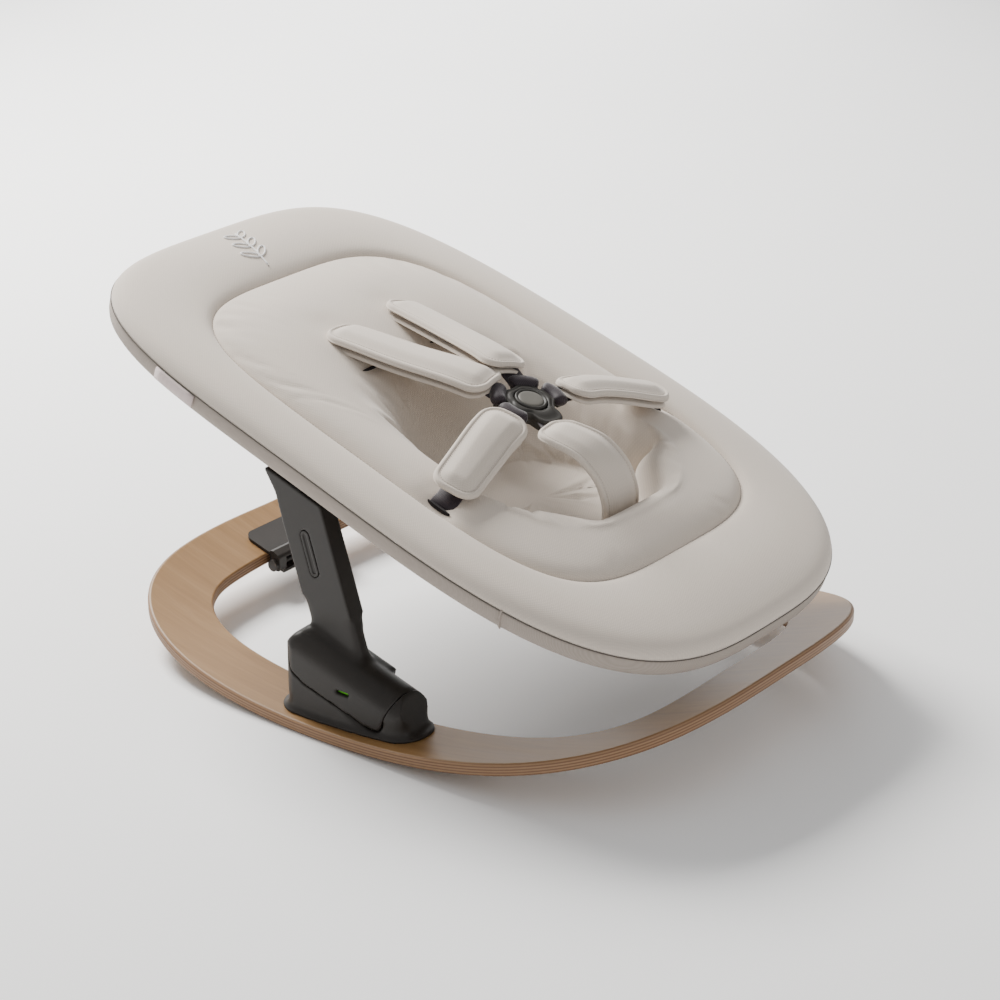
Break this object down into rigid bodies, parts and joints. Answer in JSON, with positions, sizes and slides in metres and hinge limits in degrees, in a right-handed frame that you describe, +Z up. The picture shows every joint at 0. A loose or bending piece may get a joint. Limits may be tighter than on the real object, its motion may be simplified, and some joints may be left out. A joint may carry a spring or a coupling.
{
  "type": "bouncer seat",
  "caption": "Padded baby bouncer seat with a five-point harness, held by two leaning posts in clip-in boots on a closed plywood rocker loop with a folding stopper.",
  "frame": {"origin": "centre of the bounding box in plan, on the floor under the rocker", "axes": "+Z up, +Y from the foot end to the head end, +X across to the seat's own right as seen from the foot end"},
  "size_m": [0.537, 0.7636, 0.3863],
  "materials": {
    "beech_plywood": "satin lacquer",
    "dark_plastic": "fine moulded texture",
    "button_plastic": "satin",
    "green_plastic": "gloss",
    "bush_plastic": "smooth",
    "steel": "zinc plated",
    "painted_tube": "powder coat",
    "aluminium_insert": "cast",
    "pad_rubber": "matt",
    "soft_fabric": "brushed knit",
    "band_fabric": "fine weave",
    "tag_fabric": "woven ribbon",
    "webbing": "flat webbing"
  },
  "bodies": {
    "base": {"rocker_ring": "beech_plywood", "boot_screws": "steel", "left_boot_base": "dark_plastic", "right_boot_base": "dark_plastic", "left_boot_plug": "dark_plastic", "right_boot_plug": "dark_plastic", "stopper_plate": "dark_plastic", "stopper_screws": "steel", "stopper_pin": "dark_plastic"},
    "stopper": {"stopper_leg": "dark_plastic", "stopper_foot_pad": "pad_rubber"},
    "carrier": {"left_post_outer": "dark_plastic", "right_post_outer": "dark_plastic", "left_post_inner": "dark_plastic", "right_post_inner": "dark_plastic", "left_post_core": "aluminium_insert", "right_post_core": "aluminium_insert", "post_screws": "steel", "pivot_bolts": "steel"},
    "seat": {"left_hub_plate": "painted_tube", "right_hub_plate": "painted_tube", "hub_bushes": "bush_plastic", "frame_tube": "painted_tube", "head_cross_tube": "painted_tube", "foot_cross_tube": "painted_tube", "seat_sling": "band_fabric", "topper_pad": "soft_fabric", "inlay_pad": "soft_fabric", "well_liner": "soft_fabric", "side_band": "band_fabric", "side_tag": "tag_fabric", "left_shoulder_strap": "webbing", "right_shoulder_strap": "webbing", "left_shoulder_pad": "soft_fabric", "right_shoulder_pad": "soft_fabric", "left_hip_strap": "webbing", "right_hip_strap": "webbing", "left_hip_pad": "soft_fabric", "right_hip_pad": "soft_fabric", "crotch_strap": "webbing", "crotch_pad": "soft_fabric", "buckle_back": "dark_plastic", "buckle_front": "dark_plastic", "left_shoulder_tongue": "dark_plastic", "right_shoulder_tongue": "dark_plastic", "left_hip_tongue": "dark_plastic", "right_hip_tongue": "dark_plastic"},
    "harness_button": {"buckle_button": "button_plastic", "buckle_spring": "steel"},
    "left_latch": {"left_latch_slide": "dark_plastic", "left_indicator_flag": "green_plastic"},
    "left_recline_button": {"left_recline_button": "dark_plastic", "left_recline_spring": "steel"},
    "right_latch": {"right_latch_slide": "dark_plastic", "right_indicator_flag": "green_plastic"},
    "right_recline_button": {"right_recline_button": "dark_plastic", "right_recline_spring": "steel"}
  },
  "joints": [
    {"name": "stopper_fold", "type": "hinge", "parent": "base", "child": "stopper", "pos_m": [0, 0.246, 0.035], "axis": [1, 0, 0], "range_deg": [-98, 0]},
    {"name": "lift_off", "type": "slide", "parent": "base", "child": "carrier", "axis": [0, 0, 1], "range_m": [0, 0.09]},
    {"name": "recline", "type": "hinge", "parent": "carrier", "child": "seat", "pos_m": [0, 0.05, 0.234], "axis": [1, 0, 0], "range_deg": [-10, 0]},
    {"name": "harness_release", "type": "slide", "parent": "seat", "child": "harness_button", "axis": [0, 0.2982, -0.9545], "range_m": [0, 0.0025], "stiffness_N_per_m": 1500, "springref_m": -0.001},
    {"name": "left_latch_release", "type": "slide", "parent": "carrier", "child": "left_latch", "axis": [-1, 0, 0], "range_m": [0, 0.003], "stiffness_N_per_m": 800, "springref_m": -0.002},
    {"name": "left_recline_press", "type": "slide", "parent": "carrier", "child": "left_recline_button", "axis": [1, 0, 0], "range_m": [0, 0.003], "stiffness_N_per_m": 800, "springref_m": -0.002},
    {"name": "right_latch_release", "type": "slide", "parent": "carrier", "child": "right_latch", "axis": [1, 0, 0], "range_m": [0, 0.003], "stiffness_N_per_m": 800, "springref_m": -0.002},
    {"name": "right_recline_press", "type": "slide", "parent": "carrier", "child": "right_recline_button", "axis": [-1, 0, 0], "range_m": [0, 0.003], "stiffness_N_per_m": 800, "springref_m": -0.002}
  ]
}
